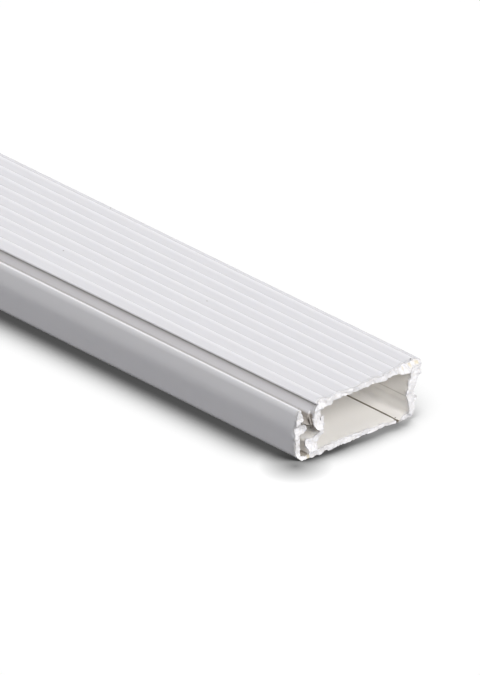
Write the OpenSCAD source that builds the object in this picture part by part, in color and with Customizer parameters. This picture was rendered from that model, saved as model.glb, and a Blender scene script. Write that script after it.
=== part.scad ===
// Cable trunking in two extruded pieces: a base with a latch channel and a lined cover.
// Millimetres. X across, Y along the length with the sawn end at -Y, Z up from the floor.
// The sections are drawn from the left outer face, then set about the middle of the width.

/* [Trunking] */
// Length of each extrusion
length = 2000; // [300:50:3000]
// Width over the latch wall and the cover's lip
width = 43.4; // [41:0.1:60]
// Height to the top of the cover
height = 16; // [15:0.1:25]
// How far the cover has slid past the base at the sawn end
cover_slid = 1.2; // [0:0.1:20]

/* [Base] */
// Thickness of the floor
floor_thickness = 1.6; // [1.4:0.1:2.2]
// Thickness of the channel's bottom
channel_floor = 1.1; // [1:0.1:1.5]
// Thickness of the latch wall
latch_wall = 1.5; // [1.2:0.05:1.7]
// Step down from the cover's top to the top of the latch wall
latch_step = 1.2; // [0.5:0.1:2]
// Radius of the outer bottom corner
corner_radius = 2.2; // [1.9:0.1:2.6]
// Clear width of the latch channel at its bottom
channel_width = 2.5; // [2.1:0.1:2.9]
// Width of the heel beside the channel
heel_width = 2.4; // [2:0.1:2.8]
// Height of the heel's shoulder
heel_height = 4.7; // [3.6:0.1:5]
// Thickness of the inner rib
rib_wall = 1.1; // [0.9:0.1:1.6]
// Space between the top of the inner rib and the cover plate
rib_space = 3.6; // [1:0.1:5]

/* [Cover] */
// Thickness of the top plate
plate_thickness = 1.6; // [1.2:0.1:2]
// Distance from the latch wall's outer face to the plate's edge
plate_inset = 5; // [4.7:0.1:5.3]
// Radius of the plate's top edges
plate_edge = 0.5; // [0.2:0.1:0.8]
// How far the plate stands past the leg
plate_overhang = 0.4; // [0.2:0.1:0.7]
// Thickness of the barbed leg
leg_wall = 2; // [1.4:0.1:2.4]
// How far the leg leans out towards its barb
leg_flare = 1.2; // [0.4:0.1:1.5]
// Number of raised lines along the top
line_count = 9; // [2:1:9]
// Distance between lines
line_pitch = 4.1; // [2.5:0.1:4.2]
// Shift of the lines from the plate's middle, away from the latch
line_shift = 1.4; // [0:0.1:1.6]
// Width of a line, with its longer slope towards the latch
line_width = 1.5; // [1:0.1:1.8]
// Height of a line
line_height = 0.15; // [0.1:0.05:0.25]

/* [Latch] */
// How far the wall's head reaches inward past the wall
head_reach = 0.9; // [0.7:0.05:1.1]
// Height of the head
head_height = 3.5; // [3:0.1:4]
// How far the barb reaches under the head
latch_overlap = 0.3; // [0.2:0.05:0.4]
// Clearance between the barb, the head and the rib
latch_clearance = 0.25; // [0.15:0.05:0.35]
// Radius of the bead below the barb
bead_radius = 1.1; // [0.8:0.05:1.3]
// How far the bead reaches inward past the wall
bead_reach = 2.1; // [1.7:0.05:2.4]

/* [Side wall and hook] */
// Depth of the lip at the top of the side wall
lip_depth = 4.3; // [3.4:0.1:4.8]
// Thickness of that lip under the plate
lip_wall = 4; // [3.4:0.1:4.6]
// Set-back of the side wall from the lip's face
wall_setback = 3.2; // [2.4:0.1:3.6]
// Thickness of the side wall
side_wall = 1.8; // [1.5:0.1:2.2]
// Height of the outward bump
bump_height = 5.4; // [5:0.1:5.8]
// How far the bump stands out
bump_reach = 1.2; // [0.9:0.1:1.6]
// How far the inward ridge stands in
ridge_reach = 1.2; // [0.6:0.1:1.6]
// Outer radius of the curved foot
foot_radius = 3.2; // [2.6:0.1:3.6]
// Thickness of the foot
foot_wall = 1.2; // [1:0.1:1.5]
// Length of the foot past its curve
foot_length = 2.7; // [2:0.1:3.4]
// Open slit between the foot and the edge of the floor
slit = 0.8; // [0.4:0.1:1.2]
// How far the tongue hooks under the floor
hook_reach = 1.5; // [1:0.1:3]
// Thickness of the tongue
tongue_thickness = 0.6; // [0.5:0.05:0.7]
// Clearance round the tongue
hook_clearance = 0.2; // [0.1:0.05:0.3]

/* [Hidden] */
$fn = 64;
pvc_white = "#eceaf0";

// Base: distances from the left outer face and heights
latch_top = height - latch_step;
latch_land = 0.3;
head_tip = latch_wall + head_reach;
head_z = latch_top - head_height;
notch_z = head_z - 0.8;
bead_tip = latch_wall + bead_reach;
bead_x = bead_tip - bead_radius;
bead_z = notch_z - 1.5 - bead_radius;
heel_left = latch_wall + channel_width;
heel_right = heel_left + heel_width;
channel_fillet = corner_radius - latch_wall;

// Cover: the same way
plate_bottom = height - plate_thickness;
plate_top = height - line_height;
line_middle = (plate_inset + width) / 2 + line_shift;
line_room = min(line_middle - plate_inset, width - line_middle) - 1;
line_step = min(line_pitch, 2 * line_room / (line_count - 1));
leg_left = plate_inset + plate_overhang;
leg_right = leg_left + leg_wall;
barb_tip = head_tip - latch_overlap;
barb_top = head_z - latch_clearance - 0.15;
leg_bottom = barb_top - 3.6;
wall_out = width - wall_setback;
wall_in = wall_out - side_wall;
lip_low = height - lip_depth;
neck_z = lip_low - 2.5;
ridge_z = bump_height + 1.5;
foot_x = wall_out - foot_radius;
foot_fillet = foot_radius - side_wall;
foot_tip = foot_x - foot_length;

// Where the two meet
rib_left = leg_right + latch_clearance;
rib_right = rib_left + rib_wall;
rib_top = plate_bottom - rib_space;
neck_top = leg_bottom - 0.5;
floor_end = foot_tip - slit;
tongue_tip = floor_end - hook_reach;
lap_z = tongue_thickness + hook_clearance;

// A round at a corner, filled on the side that the two signs point to
module rounded_corner(x, z, radius, sign_x, sign_z) {
    translate([x + sign_x * radius, z + sign_z * radius])
        circle(radius);
}

module channel_section() {
    difference() {
        union() {
            rounded_corner(0, 0, corner_radius, 1, 1);
            translate([corner_radius, 0])
                square([heel_left - corner_radius + 0.5, channel_floor]);
            translate([corner_radius - 0.01, 0])
                square([channel_fillet, corner_radius]);
            translate([0, corner_radius - 0.01])
                square([corner_radius, channel_fillet]);
        }
        translate([latch_wall + channel_fillet, channel_floor + channel_fillet])
            circle(channel_fillet);
        translate([latch_wall + channel_fillet, channel_floor])
            square([heel_left, corner_radius + height]);
        translate([latch_wall, channel_floor + channel_fillet])
            square([heel_left, height]);
    }
}

module latch_wall_section() {
    polygon([
        [latch_wall, bead_z],
        [latch_wall, notch_z],
        [head_tip, head_z],
        [latch_land + 0.2, latch_top],
        [latch_land, latch_top],
        [0, latch_top - latch_land],
        [0, corner_radius],
        [latch_wall, corner_radius]
    ]);
}

module bead_section() {
    translate([bead_x, bead_z])
        circle(bead_radius);
    polygon([
        [bead_x, bead_z - bead_radius],
        [bead_x, bead_z + bead_radius],
        [latch_wall - 0.3, bead_z + bead_radius + 0.8],
        [latch_wall - 0.3, bead_z - bead_radius - 0.5]
    ]);
}

// Heel, and the thin rib that stands up from it behind the cover's leg
module heel_section() {
    shoulder = 0.6;
    rounded_corner(heel_left, heel_height, shoulder, 1, -1);
    polygon([
        [heel_left, 0],
        [heel_right, 0],
        [heel_right, heel_height - 1],
        [rib_right, heel_height + 0.7],
        [rib_right, rib_top],
        [rib_left + 0.3, rib_top],
        [rib_left, rib_top - 0.3],
        [rib_left, neck_top],
        [heel_right - 0.9, heel_height + 0.5],
        [heel_left + shoulder, heel_height],
        [heel_left, heel_height - shoulder]
    ]);
}

module floor_section() {
    difference() {
        translate([heel_left, 0])
            square([floor_end - heel_left, floor_thickness]);
        translate([tongue_tip - hook_clearance, -1])
            square([width, lap_z + 1]);
    }
}

module base_section() {
    channel_section();
    latch_wall_section();
    bead_section();
    heel_section();
    floor_section();
}

// A low raised line, gentle on the latch side and short on the other
module line_section(x) {
    polygon([
        [x - 0.65 * line_width, plate_top - 0.3],
        [x + 0.35 * line_width, plate_top - 0.3],
        [x + 0.35 * line_width, plate_top],
        [x, height],
        [x - 0.65 * line_width, plate_top]
    ]);
}

module plate_section() {
    rounded_corner(plate_inset, plate_top, plate_edge, 1, -1);
    rounded_corner(width, plate_top, plate_edge, -1, -1);
    translate([plate_inset + plate_edge, plate_bottom])
        square([width - plate_inset - 2 * plate_edge, plate_top - plate_bottom]);
    translate([plate_inset, plate_bottom])
        square([width - plate_inset, plate_top - plate_bottom - plate_edge]);
    for (i = [0 : line_count - 1])
        line_section(line_middle + (i - (line_count - 1) / 2) * line_step);
}

module leg_section() {
    polygon([
        [leg_left, plate_bottom + 0.5],
        [leg_left, plate_bottom - 0.4],
        [leg_left - leg_flare, barb_top],
        [barb_tip + 0.3, barb_top],
        [barb_tip, barb_top - 0.3],
        [barb_tip, barb_top - 0.6],
        [leg_right - 0.8, leg_bottom],
        [leg_right, leg_bottom],
        [leg_right, plate_bottom + 0.5]
    ]);
}

module side_wall_section() {
    polygon([
        [wall_in, foot_radius],
        [wall_out, foot_radius],
        [wall_out, neck_z],
        [width, lip_low],
        [width, plate_bottom + 0.5],
        [width - lip_wall, plate_bottom + 0.5],
        [width - lip_wall, plate_bottom - 0.3],
        [wall_in, neck_z]
    ]);
}

// The bump outside and the ridge inside run the whole length; the inner face leans in to the ridge
module bump_section() {
    tip = 0.6;
    translate([wall_out + bump_reach - tip, bump_height])
        circle(tip);
    polygon([
        [wall_out - 0.5, bump_height - 1.2],
        [wall_out, bump_height - 1.2],
        [wall_out + bump_reach - tip / 2, bump_height - 0.85 * tip],
        [wall_out + bump_reach - tip / 2, bump_height + 0.85 * tip],
        [wall_out, bump_height + 1.6],
        [wall_out - 0.5, bump_height + 1.6]
    ]);
}

module ridge_section() {
    tip = 0.3;
    translate([wall_in - ridge_reach + tip, ridge_z])
        circle(tip);
    polygon([
        [width - lip_wall + 0.5, plate_bottom - 0.3],
        [width - lip_wall, plate_bottom - 0.3],
        [wall_in - ridge_reach + tip / 2, ridge_z + 0.85 * tip],
        [wall_in - ridge_reach + tip / 2, ridge_z - 0.85 * tip],
        [wall_in, ridge_z - 1.8],
        [wall_in + 0.5, ridge_z - 1.8]
    ]);
}

module foot_section() {
    difference() {
        translate([foot_x, foot_radius])
            intersection() {
                circle(foot_radius);
                translate([0, -foot_radius])
                    square(foot_radius);
            }
        translate([foot_x, foot_wall + foot_fillet])
            circle(foot_fillet);
        translate([foot_x - 1, foot_wall + foot_fillet])
            square([foot_fillet + 1, foot_radius]);
    }
    rounded_corner(foot_tip, foot_wall, foot_wall / 2, 1, -1);
    translate([foot_tip + foot_wall / 2, 0])
        square([foot_length - foot_wall / 2 + 0.01, foot_wall]);
    translate([tongue_tip, 0])
        square([foot_x - tongue_tip, tongue_thickness]);
}

module cover_section() {
    plate_section();
    leg_section();
    side_wall_section();
    bump_section();
    ridge_section();
    foot_section();
}

module base() {
    color(pvc_white)
        translate([-width / 2, (length + cover_slid) / 2, 0])
            rotate([90, 0, 0])
                linear_extrude(length)
                    base_section();
}

module cover() {
    color(pvc_white)
        translate([-width / 2, (length - cover_slid) / 2, 0])
            rotate([90, 0, 0])
                linear_extrude(length)
                    cover_section();
}

base();
cover();
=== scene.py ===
import math

import bmesh
import bpy
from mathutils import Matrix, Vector


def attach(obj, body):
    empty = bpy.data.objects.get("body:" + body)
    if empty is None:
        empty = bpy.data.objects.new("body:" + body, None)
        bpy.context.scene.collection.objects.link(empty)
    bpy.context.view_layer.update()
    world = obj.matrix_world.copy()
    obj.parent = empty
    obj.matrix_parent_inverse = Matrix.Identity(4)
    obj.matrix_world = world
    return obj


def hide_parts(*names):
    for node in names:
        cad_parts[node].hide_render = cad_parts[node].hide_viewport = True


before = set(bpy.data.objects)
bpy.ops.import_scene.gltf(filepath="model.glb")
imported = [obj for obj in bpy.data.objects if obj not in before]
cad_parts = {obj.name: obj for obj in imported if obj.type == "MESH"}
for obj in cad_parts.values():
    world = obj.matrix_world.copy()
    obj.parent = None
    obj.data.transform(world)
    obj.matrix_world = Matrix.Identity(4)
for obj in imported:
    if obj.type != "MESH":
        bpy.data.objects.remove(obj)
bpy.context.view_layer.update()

mm = 0.001
midWidth = 21.7  # sections are drawn in mm, u across from the latch wall's outer face and z up
fullHeight = 16  # mm
before, beyond = -9, 99  # mm, for a patch that is open on one side
roundSteps = 8  # the fewest segments of a rounded corner
roundStepsPerMm = 5
sameSpot = 0.004  # mm, a vertex this close to a corner is that corner
mergeGap = 0.03  # mm
fineCut = 0.001  # mm, a vertex this close to the break's plane lies on it
softAngle = 12  # degrees, flatter edges are shaded smooth
scene = bpy.context.scene

# how both pieces were sawn, in mm
sawCut = {
    "depth": 1.5,  # how far in the cut is rough
    "farShare": 0.3,  # the far end was cut cleaner
    "rings": [0, 0.25, 0.5, 0.8, 1.2, 1.8, 2.8, 4.5, 8],  # back from the cut, close where it is rough
    "cell": 0.4,
    "skin": 0.05,  # how deep the cut's face is held when it is pulled
    "grit": [(3, 0.9, "Y"), (1.3, 0.8, "NORMAL"), (0.45, 0.35, "NORMAL")],  # grain, strength, direction
    "gritDetail": 2,
}


def srgb(code):
    # sRGB hex to the linear colour that the nodes take
    parts = [int(code[i:i + 2], 16) / 255 for i in (1, 3, 5)]
    return tuple(p / 12.92 if p <= 0.04045 else ((p + 0.055) / 1.055) ** 2.4 for p in parts) + (1,)


def addNode(tree, kind, settings=None, links=None):
    # a settings key is a socket's name or number, or else a property of the node
    node = tree.nodes.new(kind)
    for key, value in (settings or {}).items():
        if isinstance(key, int) or key in node.inputs:
            node.inputs[key].default_value = value
        else:
            setattr(node, key, value)
    for key, source in (links or {}).items():
        tree.links.new(source, node.inputs[key])
    return node


def rangeSockets(values):
    # from low, from high, to low and to high, as the sockets of a Map Range
    return dict(enumerate(values, 1))


def seenDirectly(tree):
    # 1 for what the camera sees, in a reflection or through glass too; and 1 for reflections alone
    path = addNode(tree, "ShaderNodeLightPath").outputs
    mirror = addNode(tree, "ShaderNodeMath", {"operation": "MAXIMUM"},
                     {0: path["Is Camera Ray"], 1: path["Is Glossy Ray"]})
    direct = addNode(tree, "ShaderNodeMath", {"operation": "MAXIMUM"},
                     {0: mirror.outputs[0], 1: path["Is Transmission Ray"]})
    return direct.outputs[0], path["Is Glossy Ray"]


def toWorld(u, y, z):
    return Vector(((u - midWidth) * mm, y * mm, z * mm))


def toSection(place):
    return place.x / mm + midWidth, place.y / mm, place.z / mm


def pick(piece, test):
    # selects the vertices whose place (u, y, z in mm) passes the test
    bpy.ops.mesh.select_mode(type="VERT")
    bpy.ops.mesh.select_all(action="DESELECT")
    mesh = bmesh.from_edit_mesh(piece.data)
    for vert in mesh.verts:
        if test(*toSection(vert.co)):
            vert.select = True
    mesh.select_flush_mode()
    bmesh.update_edit_mesh(piece.data)


def pullSoftly(move, spread):
    # moves what is selected, and what joins it less and less
    bpy.ops.transform.translate(
        value=tuple(m * mm for m in move), use_proportional_edit=True, use_proportional_connected=True,
        proportional_edit_falloff="SMOOTH", proportional_size=spread * mm)


def drawSection(name, shape):
    # one point, drawn out corner by corner round the section and closed
    bpy.ops.object.select_all(action="DESELECT")
    bpy.ops.mesh.primitive_plane_add(size=mm)
    piece = bpy.context.object
    piece.name = name
    piece.data.name = name
    bpy.ops.object.mode_set(mode="EDIT")
    bpy.ops.mesh.merge(type="CENTER")
    last = Vector((0, 0, 0))
    for step, (u, z, _) in enumerate(shape["corners"]):
        place = toWorld(u, shape["nearY"], z)
        if step == 0:
            bpy.ops.transform.translate(value=place)
        else:
            bpy.ops.mesh.extrude_vertices_move(TRANSFORM_OT_translate={"value": place - last})
        last = place
    bpy.ops.mesh.select_all(action="SELECT")
    bpy.ops.mesh.edge_face_add()

    # the die's rounded corners, one radius at a time
    for rounding in sorted({c[2] for c in shape["corners"] if c[2] > 0}):
        spots = [(u, z) for u, z, r in shape["corners"] if r == rounding]
        pick(piece, lambda u, y, z: any(abs(u - a) + abs(z - b) < sameSpot for a, b in spots))
        bpy.ops.mesh.bevel(offset=rounding * mm, segments=roundSteps + int(rounding * roundStepsPerMm),
                           affect="VERTICES", clamp_overlap=True)
    return piece


def gridSection():
    # cuts the flat section into small cells, so that the sawn end has something to roughen
    cell = sawCut["cell"]
    for axis, size, middle in ((0, 2 * midWidth, midWidth), (2, fullHeight, 0)):
        place = cell / 2
        while place < size:
            spot = [0, 0, 0]
            spot[axis] = (place - middle) * mm
            across = [0, 0, 0]
            across[axis] = 1
            bpy.ops.mesh.select_all(action="SELECT")
            bpy.ops.mesh.bisect(plane_co=spot, plane_no=across)
            place += cell
    bpy.ops.mesh.select_all(action="SELECT")
    bpy.ops.mesh.remove_doubles(threshold=mergeGap * mm)


def extrudeLength(shape):
    # close rings at both ends, one long run between them
    bpy.ops.mesh.select_all(action="SELECT")
    near = shape["rings"]
    places = near + [shape["length"] - r for r in reversed(near)]
    for here, there in zip(places, places[1:]):
        bpy.ops.mesh.extrude_region_move(TRANSFORM_OT_translate={"value": (0, (there - here) * mm, 0)})
    bpy.ops.mesh.select_all(action="SELECT")
    bpy.ops.mesh.normals_make_consistent(inside=False)


def weighSawnEnds(piece, shape):
    # 1 on the near cut's face and less on the far one's, fading to 0 a little way in
    bpy.ops.object.mode_set(mode="OBJECT")
    group = piece.vertex_groups.new(name="sawn")
    for vert in piece.data.vertices:
        along = vert.co.y / mm - shape["nearY"]
        near = max(0, 1 - along / sawCut["depth"])
        far = max(0, 1 - (shape["length"] - along) / sawCut["depth"]) * sawCut["farShare"]
        group.add([vert.index], max(near, far), "REPLACE")
    bpy.ops.object.mode_set(mode="EDIT")


def pullCut(piece, shape):
    # the saw wandered: the cut is drawn back or forward here and there
    for u0, z0, reach, move, spread in shape["pulls"]:
        rear = shape["nearY"] + sawCut["skin"] + abs(move[1])
        pick(piece, lambda u, y, z: y < rear and math.hypot(u - u0, z - z0) < reach)
        pullSoftly(move, spread)


def roughenCut(piece):
    bpy.ops.object.mode_set(mode="OBJECT")
    for grain, strength, direction in sawCut["grit"]:
        grit = bpy.data.textures.new(piece.name + "Grit", type="CLOUDS")
        grit.noise_scale = grain * mm
        grit.noise_depth = sawCut["gritDetail"]
        bpy.ops.object.modifier_add(type="DISPLACE")
        rough = piece.modifiers[-1]
        rough.texture = grit
        rough.texture_coords = "LOCAL"
        rough.direction = direction
        rough.strength = strength * mm
        rough.vertex_group = "sawn"
        bpy.ops.object.modifier_apply(modifier=rough.name)


def levelAt(mark, u, back, z):
    # the first spot or patch that a point lies in gives its level;
    # a patch's level may change from its bottom to its top, or across it from left to right
    if back > mark.get("depth", back):
        return 0
    for spotU, spotZ, radius, depth, level in mark.get("spots", []):
        if back < depth and math.hypot(u - spotU, z - spotZ) < radius:
            return level
    for left, right, low, high, first, last in mark.get("patches", []):
        if left < u < right and low < z <= high:
            share = (u - left) / (right - left) if "across" in mark else (z - low) / (high - low)
            return first + (last - first) * share
    return 0


def markFaces(piece, shape):
    # attributes for the material: how sawn and scorched each point is, how much painted light it gets inside
    # the channel, its painted highlight, and its painted shade (partly dust)
    levels = {"sawn": [next((g.weight for g in v.groups), 0) for v in piece.data.vertices]}
    places = [toSection(v.co) for v in piece.data.vertices]
    for name, mark in shape["marks"].items():
        levels[name] = [levelAt(mark, u, y - shape["nearY"], z) for u, y, z in places]
    piece.vertex_groups.clear()
    for name, values in levels.items():
        piece.data.attributes.new(name, "FLOAT", "POINT").data.foreach_set("value", values)
    bpy.ops.object.shade_smooth_by_angle(angle=math.radians(softAngle))


# the base: a floor with the latch channel along its left side
baseShape = {
    "nearY": -999.4, "length": 2000, "rings": sawCut["rings"],
    # u, z and rounding in mm, anticlockwise from the outer bottom corner
    "corners": [
        (0, 0, 1.5), (31.8, 0, 0), (31.8, 0.8, 0), (33.3, 0.8, 0.1), (33.3, 1.6, 0.2),  # floor
        (6.1, 1.6, 0.3), (6.1, 3.7, 0.4), (8.75, 5.4, 0.4),  # heel and neck
        (8.75, 10.8, 0.3), (7.65, 10.8, 0.3), (7.65, 6.8, 0.4),  # rib
        (5.2, 5.2, 0.8), (3.5, 4.6, 0.6), (3.5, 0.7, 0.2), (1.5, 0.7, 0.5),  # channel
        (1.5, 6.7, 0.3), (3.6, 7.1, 1), (3.6, 9.4, 1), (1.5, 9.9, 0.2),  # bead
        (1.5, 10.5, 0.15), (2.4, 11.3, 0.3), (1.1, 14.8, 0.3), (0.3, 14.8, 0.25), (0, 13.7, 0.9)],  # head
    # u, z, radius of what is held, how it moves in x, y, z, and how far the pull spreads
    "pulls": [
        (0.4, 5, 3.4, (0, 1.3, 0), 2.2), (0.9, 10, 2.2, (0, 0.8, 0), 3), (1, 13, 1.8, (0, 0.3, 0), 1.5),
        (2, 0.4, 1.6, (0, 0.1, 0), 1), (4.5, 3.6, 1.4, (0, -0.2, 0), 1.6), (3.9, 4.7, 0.9, (0, 0, -0.5), 1.2),
        (5.8, 0.8, 2, (0, -0.3, 0), 2), (20, 0.8, 12, (0, -0.2, 0), 6), (32, 1, 5, (0, -0.9, 0), 10),
        (32.6, 1.3, 1, (0, -0.9, 0), 2.5)],
    # the underside broke away beside the cut: three points of the break, as u, mm back from the cut, z
    "breakaway": [(9, -1.2, 0), (33.5, -1.2, 0.85), (33.5, 2.5, 0)],
    # patches are u from and to, z from and to, first and last level
    "marks": {
        # painted light: the channel's inner faces are lighter and warmer, standing in for light bounced
        # inside
        "inside": {"patches": [(0.9, beyond, 0.4, beyond, 1, 1)]},
        # painted shade where the slit and the channel lie in shadow, patch by patch
        "shadeAndDust": {"patches": [
            (32.9, beyond, before, 1.5, 0.9, 0.9),  # painted shade down the slit
            (1.4, 3.6, 0.6, 1.3, 0.75, 0.75),  # painted shade along the channel's bottom
            (1.3, 3.6, 1.3, 10.5, 0.12, 0.12), (1.3, 7.8, 4, 10.5, 0.03, 0.03)]},  # painted shade, thinly over the channel
        "scorched": {"depth": 1.4, "patches": [(2.8, 3.6, before, 0.9, 0.6, 0.6)]},  # only beside the cut
        "paintedHighlight": {"patches": [(before, 0.6, 13, 14.2, 0, 1), (before, 0.6, 14.2, beyond, 1, 1)]},  # painted highlight along the rim
    },
}

base = drawSection("trunkingBase", baseShape)
gridSection()
extrudeLength(baseShape)
weighSawnEnds(base, baseShape)
pullCut(base, baseShape)
start, right, rear = (toWorld(u, baseShape["nearY"] + back, z) for u, back, z in baseShape["breakaway"])
bpy.ops.mesh.select_all(action="SELECT")
bpy.ops.mesh.bisect(plane_co=start, plane_no=(right - start).cross(rear - start).normalized(),
                    use_fill=True, clear_inner=True, threshold=fineCut * mm)
bpy.ops.mesh.select_all(action="SELECT")
bpy.ops.mesh.normals_make_consistent(inside=False)
roughenCut(base)
markFaces(base, baseShape)
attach(base, "base")
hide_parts("base")
print("base drawn,", len(base.data.polygons), "faces")


# the cover: a plate with raised lines, a barbed leg and a shaped side wall
plateTop = 15.85
lines = {
    "first": 8.97, "pitch": 4.42, "narrowing": 0.04, "count": 9, "rise": 1.2, "fall": 0.45, "height": 0.3,
    "crestRounding": 0.1, "rootRounding": 0.4, "shadeFrom": 0.2, "shadeTo": 0.75,  # painted shade lies right of a crest, on its falling side
}
crests = [lines["first"] + i * lines["pitch"] - i * i * lines["narrowing"] for i in range(lines["count"])]
lineCorners = []
for crest in reversed(crests):  # right to left, as the outline runs
    lineCorners += [(crest + lines["fall"], plateTop, lines["crestRounding"]),
                    (crest, plateTop + lines["height"], lines["crestRounding"]),
                    (crest - lines["rise"], plateTop, lines["rootRounding"])]

coverShape = {
    "nearY": -1000.6, "length": 2000, "rings": sawCut["rings"] + [130, 300],
    "corners": [
        (34.1, 0, 0.4), (40.2, 0, 4), (40.2, 4.2, 0.3), (41.62, 5.29, 0.5), (40.2, 7, 0.3),  # foot and bump
        (40.2, 9.2, 0.8), (43.4, 11.7, 0.5), (43.4, plateTop, 0.2),
        *lineCorners,
        (5.15, plateTop, 0.45), (5.2, 15.3, 0.08), (6, 15, 0.1), (5.5, 14.4, 0.2),  # the plate's left edge
        (4.2, 10.9, 0.1), (2.1, 10.9, 0.3), (2.1, 10.3, 0.1), (6.6, 7.3, 0.2), (7.4, 7.3, 0.2),  # barb
        (7.4, 13.7, 1.2), (12.5, 14.4, 2),
        (39.6, 14.4, 0.4), (37.4, 7.1, 0.25), (38.2, 5.1, 0.3), (38.2, 1.2, 1.4), (34.1, 1.2, 0.5)],  # wall
    "pulls": [
        (8, 15.2, 3, (0, -0.2, 0), 12), (12.8, 15.2, 2.2, (0, 0.8, 0), 3), (24, 15.1, 9, (0, 0.4, 0), 3),
        (7.5, 15.85, 1, (0, 1.3, 0), 1.5), (9.5, 14, 1.2, (0, -0.6, 0), 1.5),
        (28.5, 14.4, 1, (0, -0.6, 0), 2.5),
        (35.5, 15.85, 0.6, (0, 1.1, 0), 0.9), (37.5, 15.85, 0.6, (0, 1.4, 0), 0.9),  # torn corner
        (39.5, 15.85, 0.6, (0, 1.6, 0), 0.9), (41.3, 15.85, 0.6, (0, 1.5, 0), 0.9),
        (39.5, 1, 1.5, (0, -0.4, 0), 5), (34.8, 0.6, 1.2, (0, -0.7, 0), 4),  # foot
        (34.4, 1.2, 0.6, (0, -1.2, 0.1), 1.6), (36, 0, 1.6, (0, 1.2, 0), 2),
        (43, 13.5, 2.2, (0, 0.8, 0), 2.5), (6.4, 12, 2.2, (0, 1.2, 0), 2.5),
        (37.5, 14.5, 1.2, (0, 0, -0.8), 2)],
    # the plate's left edge strays: from and to, mm back from the cut, and how far it strays there
    "edge": {"right": 6.1, "above": 14.3, "spread": 3, "drift": [(0, 9, 0.3), (129, 131, -0.4)]},
    "chip": {"from": 5.3, "under": 14.2, "back": 2, "remains": 0.1},  # the barb broke off beside the cut
    "flake": {"foot": (5, 9.15), "tip": (4.2, 11.6), "width": 0.35, "back": 1.9, "sides": 7},  # left standing
    "tongue": {"low": (32.2, 0.03), "high": (35, 0.58), "back": 3.5, "rounding": 0.12, "steps": 2},
    # spots are u, z, radius, how far back from the cut, and level
    "marks": {
        # painted light: the inner faces are lighter and warmer, standing in for light bounced inside
        "inside": {"patches": [(7, 39.9, 0.4, 15, 1, 1)]},
        # painted shade in the slit, the corner, under the edges and round the ridge, with some dust on the
        # barb
        "shadeAndDust": {
            "spots": [(39.4, 14.2, 0.5, 4.6, 0.9)],  # painted shade in the far corner
            "patches": [
                (30, 35, before, 1.15, 0.9, 0.9),  # painted shade on the tongue, under the slit
                (4.8, 6.7, 14.6, 15.2, 0.65, 0.65),  # painted shade under the plate's edge
                (before, 6.7, 13.6, 14.6, 0, 0.25),
                (before, 5.6, before, 11.85, 0.75, 0.75),  # painted shade and dust on the barb
                (before, 5.6, 11.85, 12.35, 0.75, 0),
                (before, 6.8, before, 11, 0.5, 0.5),
                (37, 37.6, 6.6, 7.05, 0.45, 0.45), (37, 39.5, 7.05, 14.2, 0.12, 0.12),  # painted shade round the ridge
                # painted shade on each raised line's falling side
                *((c + lines["shadeFrom"], c + lines["shadeTo"], 15.8, beyond, 0.07, 0.07) for c in crests)]},
        "scorched": {"spots": [(u, z, 0.4, 2.6, 0.6) for u, z in ((37, 15.1), (39.6, 15.2), (42.2, 15.1))]},
        # painted highlight across each raised line's rising side, lightest at the crest
        "paintedHighlight": {"across": True, "patches": [(c - lines["rise"], c, plateTop, beyond, 0, 1) for c in crests]},
    },
}

cover = drawSection("trunkingCover", coverShape)
gridSection()
extrudeLength(coverShape)
weighSawnEnds(cover, coverShape)
edge = coverShape["edge"]
for nearest, farthest, shift in edge["drift"]:
    pick(cover, lambda u, y, z: u < edge["right"] and z > edge["above"]
         and nearest <= y - coverShape["nearY"] < farthest)
    pullSoftly((shift, 0, 0), edge["spread"])
chip = coverShape["chip"]
pick(cover, lambda u, y, z: u < chip["from"] and z < chip["under"] and y < coverShape["nearY"] + chip["back"])
bpy.ops.transform.resize(value=(chip["remains"], 1, 1), center_override=toWorld(chip["from"], 0, 0))
pullCut(cover, coverShape)
roughenCut(cover)

# the thin hook under the floor's edge, broken off a little way back from the cut
tongue = coverShape["tongue"]
(tongueLeft, tongueLow), (tongueRight, tongueHigh) = tongue["low"], tongue["high"]
tongueLength = coverShape["length"] - tongue["back"]
tongueMiddle = coverShape["nearY"] + (coverShape["length"] + tongue["back"]) / 2
bpy.ops.object.mode_set(mode="EDIT")
bpy.ops.mesh.select_all(action="DESELECT")
bpy.ops.mesh.primitive_cube_add(
    size=1, scale=((tongueRight - tongueLeft) * mm, tongueLength * mm, (tongueHigh - tongueLow) * mm),
    location=toWorld((tongueLeft + tongueRight) / 2, tongueMiddle, (tongueLow + tongueHigh) / 2))
bpy.ops.mesh.bevel(offset=tongue["rounding"] * mm, segments=tongue["steps"], affect="EDGES")
flake = coverShape["flake"]
(footU, footZ), (tipU, tipZ) = flake["foot"], flake["tip"]
bpy.ops.mesh.primitive_cone_add(
    vertices=flake["sides"], radius1=flake["width"] * mm, radius2=flake["width"] * mm / 2,
    depth=math.hypot(tipU - footU, tipZ - footZ) * mm,
    location=toWorld((footU + tipU) / 2, coverShape["nearY"] + flake["back"], (footZ + tipZ) / 2),
    rotation=(0, math.atan2(tipU - footU, tipZ - footZ), 0))
bpy.ops.object.mode_set(mode="OBJECT")
markFaces(cover, coverShape)
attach(cover, "cover")
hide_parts("cover")
print("cover drawn,", len(cover.data.polygons), "faces")


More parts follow.
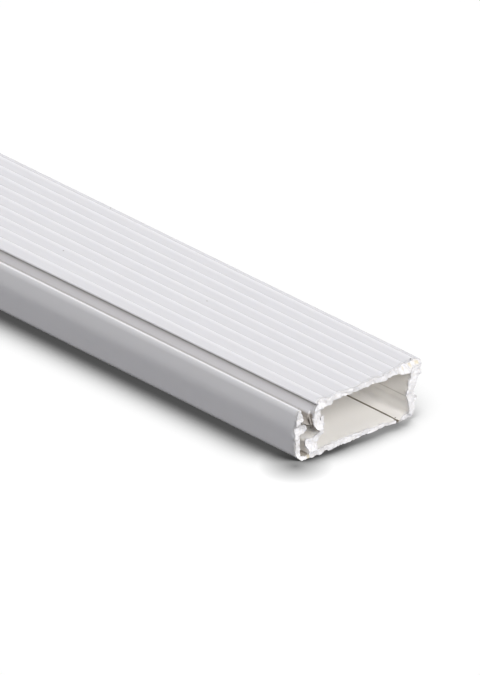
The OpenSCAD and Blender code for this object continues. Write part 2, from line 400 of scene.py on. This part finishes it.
pvcLook = {
    "colour": "#e0dfe3", "shade": "#dbdadf",  # the skin with its random cloudy tone, a cooler white than the painted light inside the channel
    # a painted light for the channel's inside, then a painted highlight for the raised lines and the rim
    "paintedInsideLight": "#f8f5f1", "paintedHighlight": "#f0eff3", "sawn": "#dcdbde", "sawnShade": "#d6d3d2",
    # then the specks, the saw's scorch, and a brown for painted shade, partly dust
    "speck": "#8d857c", "scorch": "#c9b98c", "shadeAndDustBrown": "#6e614f",
    "roughness": 0.13, "sawnRoughness": 0.8, "ior": 1.53, "sheen": 1.0,
    "bleed": 0.12, "bleedDepth": 2.5, "bleedTint": (1, 0.93, 0.8),  # thin white PVC lets light through
    # sizes in mm; sets of four are from low, from high, to low and to high
    "dieLine": 0.7, "dieStretch": 0.0004, "dieDepth": 0.1, "dieStrength": 0.03,  # coarser than real, to show
    "cloud": 24, "speckGap": 11, "speckSize": (0.012, 0.026, 1.0, 0.0),
    "sawTooth": 0.6, "toothDepth": 0.25, "toothStrength": 0.5, "toothTint": (0.35, 0.6, 0.0, 1.0),
    "torn": (0.45, 0.85, 0.0, 1.0),  # how sawn a point must be to look torn
    # painted shade: tight crevices darken brown by how occluded they are
    "creviceShadeReach": 1.6, "creviceShadeFade": (0.1, 0.45, 0.9, 0.0), "creviceShadeSamples": 8,
}


def makePvc(name, look):
    # satin white with a faint bluish cast, die lines along the length, a few dark specks;
    # where it was sawn it is whiter, torn and dull
    pvc = bpy.data.materials.new(name)
    pvc.use_nodes = True
    tree = pvc.node_tree
    shader = tree.nodes["Principled BSDF"]
    shader.inputs["IOR"].default_value = look["ior"]
    shader.inputs["Specular IOR Level"].default_value = look["sheen"]
    shader.inputs["Subsurface Weight"].default_value = look["bleed"]
    shader.inputs["Subsurface Radius"].default_value = look["bleedTint"]
    shader.inputs["Subsurface Scale"].default_value = look["bleedDepth"] * mm
    mark = {kind: addNode(tree, "ShaderNodeAttribute", {"attribute_name": kind}).outputs["Fac"]
            for kind in ("sawn", "inside", "shadeAndDust", "scorched", "paintedHighlight")}
    place = addNode(tree, "ShaderNodeTexCoord").outputs["Object"]
    drawn = addNode(tree, "ShaderNodeMapping", {"Scale": (1, look["dieStretch"], 1)}, {"Vector": place})
    dieLines = addNode(tree, "ShaderNodeTexNoise", {"Scale": 1 / (look["dieLine"] * mm), "Detail": 2.0},
                       {"Vector": drawn.outputs["Vector"]})
    clouds = addNode(tree, "ShaderNodeTexNoise", {"Scale": 1 / (look["cloud"] * mm), "Detail": 3.0},
                     {"Vector": place})
    cells = addNode(tree, "ShaderNodeTexVoronoi", {"Scale": 1 / (look["speckGap"] * mm)}, {"Vector": place})
    specks = addNode(tree, "ShaderNodeMapRange", rangeSockets(look["speckSize"]),
                     {0: cells.outputs["Distance"]})
    skin = addNode(tree, "ShaderNodeMix",
                   {"data_type": "RGBA", 6: srgb(look["colour"]), 7: srgb(look["shade"])},
                   {0: clouds.outputs["Fac"]})

    # painted light on the channel's inner faces, the specks, and a painted highlight on the rising side of
    # the raised lines
    colour = skin.outputs[2]
    for share, hue in ((mark["inside"], "paintedInsideLight"), (specks.outputs[0], "speck"), (mark["paintedHighlight"], "paintedHighlight")):
        layer = addNode(tree, "ShaderNodeMix", {"data_type": "RGBA", 7: srgb(look[hue])},
                        {0: share, 6: colour})
        colour = layer.outputs[2]

    # torn by the saw's teeth
    torn = addNode(tree, "ShaderNodeMapRange", rangeSockets(look["torn"]), {0: mark["sawn"]}).outputs[0]
    tooth = addNode(tree, "ShaderNodeTexNoise", {"Scale": 1 / (look["sawTooth"] * mm), "Detail": 3.0},
                    {"Vector": place})
    ragged = addNode(tree, "ShaderNodeMapRange", rangeSockets(look["toothTint"]), {0: tooth.outputs["Fac"]})
    tornTint = addNode(tree, "ShaderNodeMix",
                       {"data_type": "RGBA", 6: srgb(look["sawnShade"]), 7: srgb(look["sawn"])},
                       {0: ragged.outputs[0]})
    finish = addNode(tree, "ShaderNodeMix", {"data_type": "RGBA"},
                     {0: torn, 6: colour, 7: tornTint.outputs[2]})
    gloss = addNode(tree, "ShaderNodeMix", {2: look["roughness"], 3: look["sawnRoughness"]}, {0: torn})
    grain = addNode(tree, "ShaderNodeMath", {"operation": "MULTIPLY"}, {0: tooth.outputs["Fac"], 1: torn})
    dieBump = addNode(tree, "ShaderNodeBump",
                      {"Strength": look["dieStrength"], "Distance": look["dieDepth"] * mm},
                      {"Height": dieLines.outputs["Fac"]})
    sawBump = addNode(tree, "ShaderNodeBump",
                      {"Strength": look["toothStrength"], "Distance": look["toothDepth"] * mm},
                      {"Height": grain.outputs[0], "Normal": dieBump.outputs[0]})

    # the saw scorched it in spots; a painted brown shade darkens crevices by how occluded they are, and the
    # listed patches by painted shade that is partly dust
    burn = addNode(tree, "ShaderNodeMath", {"operation": "MULTIPLY"}, {0: mark["scorched"], 1: torn})
    tight = addNode(tree, "ShaderNodeAmbientOcclusion",
                    {"samples": look["creviceShadeSamples"], "Distance": look["creviceShadeReach"] * mm})
    creviceShade = addNode(tree, "ShaderNodeMapRange", rangeSockets(look["creviceShadeFade"]), {0: tight.outputs["AO"]})
    clean = addNode(tree, "ShaderNodeMath", {"operation": "SUBTRACT", 0: 1.0}, {1: torn})
    patchShadeAndDust = addNode(tree, "ShaderNodeMath", {"operation": "MULTIPLY"},
                    {0: mark["shadeAndDust"], 1: clean.outputs[0]})
    shadeAndDustShare = addNode(tree, "ShaderNodeMath", {"operation": "MAXIMUM"},
                   {0: creviceShade.outputs[0], 1: patchShadeAndDust.outputs[0]})
    colour = finish.outputs[2]
    for share, hue in ((burn.outputs[0], "scorch"), (shadeAndDustShare.outputs[0], "shadeAndDustBrown")):
        layer = addNode(tree, "ShaderNodeMix", {"data_type": "RGBA", 7: srgb(look[hue])},
                        {0: share, 6: colour})
        colour = layer.outputs[2]
    tree.links.new(colour, shader.inputs["Base Color"])
    tree.links.new(gloss.outputs[0], shader.inputs["Roughness"])
    tree.links.new(sawBump.outputs[0], shader.inputs["Normal"])
    return pvc


for piece, name in ((base, "extrudedPvcBase"), (cover, "extrudedPvcCover")):
    piece.data.materials.clear()
    piece.data.materials.append(makePvc(name, pvcLook))
print("PVC finished")


studio = {
    "floorSize": 40, "floorDrop": 0.02,  # m, and mm under the part
    "floor": "#f6f6f6", "floorBounce": 0.38, "floorLift": 0.9, "floorShare": 0.12,
    "world": 0.18,
    # level on a face turned to the lamp, direction to the lamp, and its spread in degrees
    "lamps": {
        "frontLamp": (1.06, (-0.13, -0.83, 0.54), 45),
        "keyLamp": (0.23, (-0.25, -0.05, 0.97), 30),
    },
    "lampDistance": 3,
    "cameraTarget": (-0.0176, -0.9718, 0.02505),
    "cameraBack": (-0.6020, -0.6593, 0.4506),
    "cameraDistance": 4.117,
    "lens": 831.4,
    "clip": (0.1, 200),
}
contactShadow = {
    "reach": 22,  # mm
    "samples": 48,
    "facing": (0.421, 0.4, 0.814),  # leans to the right and back, so the shadow is darker on the left
    # these fades are from low, from high, to low and to high
    "fade": (0.55, 0.895, 0.08, 1.0),
    "sheenFade": (0.83, 0.855, 0.05, 1.0),  # in the wall's sheen it ends more sharply
    "corner": (-0.024, -1.0005, 0),  # it goes on round the near left corner
    "cornerFade": (0.0, 0.01, 0.3, 1.0),
    "rightFades": ((-0.008, 0.004, 0.0, 0.2), (0.012, 0.024, 0.0, 0.55)),  # and is lighter on the right
}
white = (1, 1, 1, 1)
black = (0, 0, 0, 1)

bpy.ops.object.select_all(action="DESELECT")
bpy.ops.mesh.primitive_plane_add(size=studio["floorSize"], location=(0, 0, -studio["floorDrop"] * mm))
floor = bpy.context.object
floor.name = "studioFloor"
paper = bpy.data.materials.new("whitePaper")
paper.use_nodes = True
tree = paper.node_tree
tree.nodes.clear()
direct, inSheen = seenDirectly(tree)
onFloor = addNode(tree, "ShaderNodeTexCoord").outputs["Object"]
near = addNode(tree, "ShaderNodeAmbientOcclusion",
               {"samples": contactShadow["samples"], "Distance": contactShadow["reach"] * mm,
                "Normal": contactShadow["facing"]}).outputs["AO"]
fade = addNode(tree, "ShaderNodeMapRange",
               {"interpolation_type": "SMOOTHSTEP", **rangeSockets(contactShadow["fade"])}, {0: near})
fromCorner = addNode(tree, "ShaderNodeVectorMath", {"operation": "DISTANCE", 1: contactShadow["corner"]},
                     {0: onFloor})
bend = addNode(tree, "ShaderNodeMapRange", rangeSockets(contactShadow["cornerFade"]),
               {0: fromCorner.outputs["Value"]})
soft = addNode(tree, "ShaderNodeMath", {"operation": "MULTIPLY"}, {0: fade.outputs[0], 1: bend.outputs[0]})
crisp = addNode(tree, "ShaderNodeMapRange", rangeSockets(contactShadow["sheenFade"]), {0: near})
dark = addNode(tree, "ShaderNodeMix", None, {0: inSheen, 2: soft.outputs[0], 3: crisp.outputs[0]})
across = addNode(tree, "ShaderNodeSeparateXYZ", None, {0: onFloor})
early, late = (addNode(tree, "ShaderNodeMapRange", rangeSockets(values), {0: across.outputs["X"]})
               for values in contactShadow["rightFades"])
lighter = addNode(tree, "ShaderNodeMath", {"operation": "ADD"}, {0: early.outputs[0], 1: late.outputs[0]})
shade = addNode(tree, "ShaderNodeMix", {3: 1.0}, {0: lighter.outputs[0], 2: dark.outputs[0]}).outputs[0]
shadow = addNode(tree, "ShaderNodeMath", {"operation": "MULTIPLY", 1: studio["floorShare"]}, {0: shade})
level = addNode(tree, "ShaderNodeMix", {2: studio["floorBounce"]}, {0: direct, 3: shadow.outputs[0]})
sheet = addNode(tree, "ShaderNodeMix", {"data_type": "RGBA", 6: black, 7: srgb(studio["floor"])},
                {0: level.outputs[0]})
diffuse = addNode(tree, "ShaderNodeBsdfDiffuse", None, {"Color": sheet.outputs[2]})
glow = addNode(tree, "ShaderNodeMath", {"operation": "MULTIPLY", 1: studio["floorLift"]}, {0: direct})
seen = addNode(tree, "ShaderNodeMath", {"operation": "MULTIPLY"}, {0: glow.outputs[0], 1: shade})
lift = addNode(tree, "ShaderNodeEmission", {"Color": white}, {"Strength": seen.outputs[0]})
both = addNode(tree, "ShaderNodeAddShader", None, {0: diffuse.outputs[0], 1: lift.outputs[0]})
addNode(tree, "ShaderNodeOutputMaterial", None, {"Surface": both.outputs[0]})
floor.data.materials.append(paper)

world = bpy.data.worlds.new("studioWorld")
scene.world = world
world.use_nodes = True
tree = world.node_tree
tree.nodes.clear()
direct, _ = seenDirectly(tree)
light = addNode(tree, "ShaderNodeBackground", {"Color": white, "Strength": studio["world"]})
backdrop = addNode(tree, "ShaderNodeBackground", {"Color": white, "Strength": 1.0})
either = addNode(tree, "ShaderNodeMixShader", None, {0: direct, 1: light.outputs[0], 2: backdrop.outputs[0]})
addNode(tree, "ShaderNodeOutputWorld", None, {"Surface": either.outputs[0]})

for name, (strength, toLamp, spread) in studio["lamps"].items():
    bpy.ops.object.light_add(type="SUN", location=Vector(toLamp) * studio["lampDistance"])
    lamp = bpy.context.object
    lamp.name = name
    lamp.rotation_euler = Vector(toLamp).to_track_quat("Z", "Y").to_euler()
    lamp.data.energy = strength * math.pi
    lamp.data.angle = math.radians(spread)

back = Vector(studio["cameraBack"]).normalized()
bpy.ops.object.camera_add(location=Vector(studio["cameraTarget"]) + back * studio["cameraDistance"])
camera = bpy.context.object
camera.rotation_euler = back.to_track_quat("Z", "Y").to_euler()
camera.data.lens = studio["lens"]
camera.data.clip_start, camera.data.clip_end = studio["clip"]
scene.camera = camera
scene.view_settings.view_transform = "Standard"
print("studio set")
